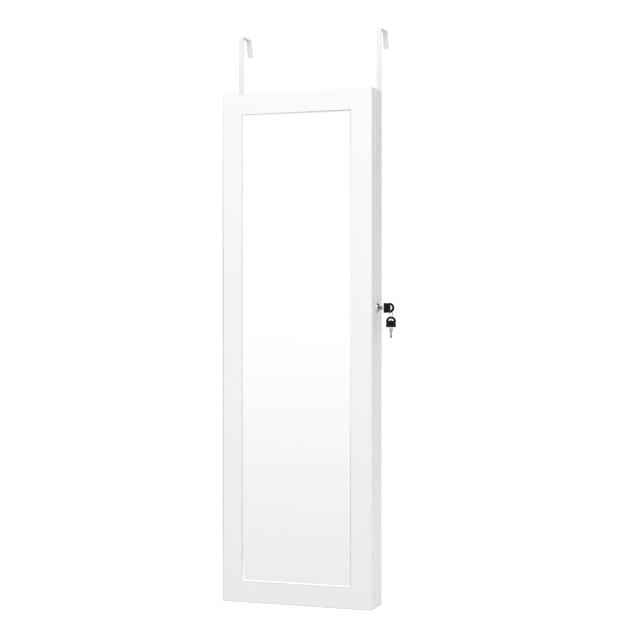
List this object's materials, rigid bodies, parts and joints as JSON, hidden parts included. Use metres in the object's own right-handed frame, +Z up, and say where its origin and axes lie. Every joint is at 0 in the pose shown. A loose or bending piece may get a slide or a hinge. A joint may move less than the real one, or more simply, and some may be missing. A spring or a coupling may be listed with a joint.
{
  "type": "jewelry mirror cabinet",
  "caption": "Slim tall white cabinet: framed full-length mirror door on side hinges, keyed cam lock on its side, strap hooks for a room door, velvet-lined jewelry interior.",
  "frame": {"origin": "centre of the cabinet's flat back face", "axes": "+X to the right seen from the front, +Y out of the back face towards the wall or room door (the mirror faces -Y), +Z up"},
  "size_m": [0.4202, 0.139, 1.35],
  "materials": {
    "white_lacquer": "white satin lacquer on fibreboard",
    "mirror": "silvered glass with a ground bevel",
    "velvet": "dove grey velvet on card",
    "velvet_soft": "velvet over foam",
    "hook_paint": "white powder coat on steel strip",
    "chrome": "polished chrome",
    "nickel": "satin nickel",
    "zinc": "zinc-plated steel",
    "black_plastic": "moulded black grip",
    "key_steel": "nickel-plated key blank",
    "beech": "planed beech",
    "tape": "foam adhesive tape",
    "magnet": "nickel-plated magnet"
  },
  "bodies": {
    "cabinet": {"side_panel_left": "white_lacquer", "side_panel_right": "white_lacquer", "top_panel": "white_lacquer", "bottom_panel": "white_lacquer", "back_panel": "white_lacquer", "hanging_rail": "white_lacquer", "lower_rail": "white_lacquer", "compartment_divider": "white_lacquer", "shelf_upper": "white_lacquer", "shelf_second": "white_lacquer", "shelf_third": "white_lacquer", "shelf_lower": "white_lacquer", "guard_bar_second": "white_lacquer", "guard_bar_third": "white_lacquer", "guard_bar_lower": "white_lacquer", "guard_bar_bottom": "white_lacquer", "necklace_rail": "white_lacquer", "ring_tray": "white_lacquer", "velvet_back_lining": "velvet", "ring_rolls": "velvet_soft", "hook_strap_left": "hook_paint", "hook_strap_right": "hook_paint", "lock_barrel": "chrome", "hinge_body_leaves": "nickel", "hinge_pins": "nickel", "necklace_pegs": "nickel", "rod_cups": "nickel", "body_hinge_screws": "zinc", "strap_screws": "zinc", "lock_nut": "zinc", "bracelet_rod": "beech", "panel_dowels": "beech", "catch_magnets": "magnet"},
    "door": {"door_front_board": "white_lacquer", "door_side_left": "white_lacquer", "door_side_right": "white_lacquer", "door_top_edge": "white_lacquer", "door_bottom_edge": "white_lacquer", "mirror_glass": "mirror", "mirror_adhesive_tape": "tape", "velvet_door_lining": "velvet", "earring_bar_top": "white_lacquer", "earring_bar_second": "white_lacquer", "earring_bar_third": "white_lacquer", "earring_bar_lower": "white_lacquer", "stud_cushion": "velvet_soft", "lock_strike": "zinc", "strike_screws": "zinc", "catch_discs": "zinc", "hinge_door_leaves": "nickel", "door_hinge_screws": "zinc"},
    "lock_plug": {"lock_plug": "chrome", "lock_cam": "zinc", "cam_screw": "zinc"},
    "key": {"key_blade": "key_steel", "key_head": "black_plastic"},
    "key_ring": {"key_ring": "chrome"},
    "spare_key": {"spare_key_blade": "key_steel", "spare_key_head": "black_plastic"}
  },
  "joints": [
    {"name": "door_hinge", "type": "hinge", "parent": "cabinet", "child": "door", "pos_m": [-0.1877, -0.05, 0], "axis": [0, 0, -1], "range_deg": [0, 170]},
    {"name": "lock_turn", "type": "hinge", "parent": "cabinet", "child": "lock_plug", "pos_m": [0.18, -0.036, 0.094], "axis": [1, 0, 0], "range_deg": [0, 90]},
    {"name": "key_pull", "type": "slide", "parent": "lock_plug", "child": "key", "axis": [1, 0, 0], "range_m": [0, 0.025]},
    {"name": "ring_hang", "type": "hinge", "parent": "key", "child": "key_ring", "pos_m": [0.2183, -0.036, 0.08567], "axis": [1, 0, 0], "range_deg": [-90, 0]},
    {"name": "spare_key_swing", "type": "hinge", "parent": "key_ring", "child": "spare_key", "pos_m": [0.2183, -0.036, 0.0682], "axis": [0, 1, 0], "range_deg": [-60, 30]}
  ],
  "couplings": [
    {"joint": "ring_hang", "follows": "lock_turn", "ratio": -1}
  ]
}
